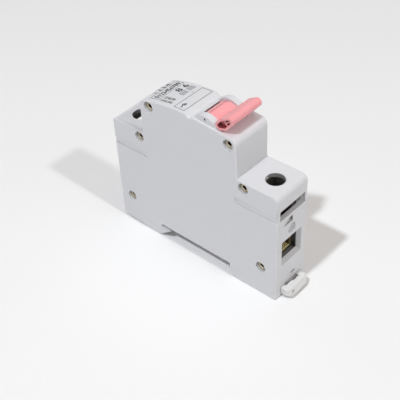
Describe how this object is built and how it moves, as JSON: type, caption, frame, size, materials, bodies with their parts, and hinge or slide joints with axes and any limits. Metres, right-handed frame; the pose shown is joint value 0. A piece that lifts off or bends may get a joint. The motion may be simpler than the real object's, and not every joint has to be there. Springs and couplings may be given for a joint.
{
  "type": "single-pole DIN-rail circuit breaker",
  "caption": "Narrow moulded circuit breaker with a tilting toggle, screw clamp terminals at both ends and a sliding rail clip; switches and protects one circuit.",
  "frame": {"origin": "middle of the rail seat, on the pad that meets the DIN rail's front face", "axes": "+X towards the load end with the rail clip, +Y towards the base shell's back wall, +Z away from the rail towards the toggle"},
  "size_m": [0.0834, 0.0176, 0.0728],
  "materials": {
    "housing_plastic": "fine matte moulding",
    "toggle_plastic": "satin pink",
    "clip_plastic": "white satin",
    "rivet_brass": "pale brass",
    "spring_steel": "drawn wire",
    "black_plastic": "black moulding",
    "copper": "bare copper",
    "contact_silver": "silver alloy",
    "pin_steel": "turned steel",
    "plate_steel": "plated steel sheet",
    "fibre_board": "vulcanised fibre",
    "bimetal": "rolled strip",
    "yellow_zinc": "yellow passivated zinc",
    "cream_plastic": "cream moulding"
  },
  "bodies": {
    "housing": {"base_shell": "housing_plastic", "cover_shell": "housing_plastic", "rivets": "rivet_brass", "toggle_spring": "spring_steel", "carrier_pin": "pin_steel", "main_spring": "spring_steel", "fixed_contact": "copper", "fixed_contact_tip": "contact_silver", "arc_plates": "plate_steel", "arc_side_walls": "fibre_board", "arc_runner": "copper", "coil_bobbin": "black_plastic", "coil_winding": "copper", "fixed_core": "pin_steel", "plunger_spring": "spring_steel", "magnet_yoke": "plate_steel", "bimetal_strip": "bimetal", "calibration_screw": "yellow_zinc", "trip_pin": "pin_steel", "trip_spring": "spring_steel", "contact_braid": "copper", "line_tongue": "copper", "load_tongue": "copper", "din_clip_spring": "spring_steel"},
    "toggle": {"toggle": "toggle_plastic"},
    "link": {"link_wire": "spring_steel"},
    "contact_lever": {"contact_carrier": "black_plastic", "moving_contact_arm": "copper", "moving_contact_tip": "contact_silver"},
    "plunger": {"plunger": "pin_steel"},
    "trip_lever": {"trip_lever": "cream_plastic"},
    "line_cage": {"line_cage": "yellow_zinc"},
    "line_screw": {"line_screw": "yellow_zinc"},
    "load_cage": {"load_cage": "yellow_zinc"},
    "load_screw": {"load_screw": "yellow_zinc"},
    "din_clip": {"din_clip": "clip_plastic"}
  },
  "joints": [
    {"name": "toggle_turn", "type": "hinge", "parent": "housing", "child": "toggle", "pos_m": [0.0076, 0, 0.0568], "axis": [0, 1, 0], "range_deg": [-85, 0]},
    {"name": "link_swing", "type": "hinge", "parent": "toggle", "child": "link", "pos_m": [0.00416, 0, 0.05476], "axis": [0, 1, 0], "range_deg": [0, 103.83]},
    {"name": "contact_turn", "type": "hinge", "parent": "housing", "child": "contact_lever", "pos_m": [0.0019, 0, 0.0381], "axis": [0, 1, 0], "range_deg": [0, 18.01], "deforming": ["contact_braid"]},
    {"name": "plunger_slide", "type": "slide", "parent": "housing", "child": "plunger", "axis": [1, 0, 0], "range_m": [0, 0.0024], "stiffness_N_per_m": 60, "springref_m": -0.001, "deforming": ["plunger_spring"]},
    {"name": "trip_lever_turn", "type": "hinge", "parent": "housing", "child": "trip_lever", "pos_m": [0.0129, 0, 0.0361], "axis": [0, 1, 0], "range_deg": [0, 12], "stiffness_Nm_per_rad": 0.002, "springref_deg": -5.73},
    {"name": "line_screw_turn", "type": "hinge", "parent": "housing", "child": "line_screw", "pos_m": [-0.0322, 0, 0.03], "axis": [0, 0, -1], "range_deg": [0, 3816]},
    {"name": "line_cage_lift", "type": "slide", "parent": "housing", "child": "line_cage", "axis": [0, 0, 1], "range_m": [0, 0.00848]},
    {"name": "load_screw_turn", "type": "hinge", "parent": "housing", "child": "load_screw", "pos_m": [0.0322, 0, 0.03], "axis": [0, 0, -1], "range_deg": [0, 3816]},
    {"name": "load_cage_lift", "type": "slide", "parent": "housing", "child": "load_cage", "axis": [0, 0, 1], "range_m": [0, 0.00848]},
    {"name": "rail_clip_slide", "type": "slide", "parent": "housing", "child": "din_clip", "axis": [1, 0, 0], "range_m": [0, 0.0045], "stiffness_N_per_m": 300, "springref_m": -0.003, "deforming": ["din_clip_spring"]}
  ],
  "couplings": [
    {"joint": "link_swing", "follows": "toggle_turn", "ratio": -1.221},
    {"joint": "contact_turn", "follows": "toggle_turn", "ratio": -0.21177},
    {"joint": "line_screw_turn", "follows": "line_cage_lift", "rad_per_m": 7854},
    {"joint": "load_screw_turn", "follows": "load_cage_lift", "rad_per_m": 7854}
  ]
}
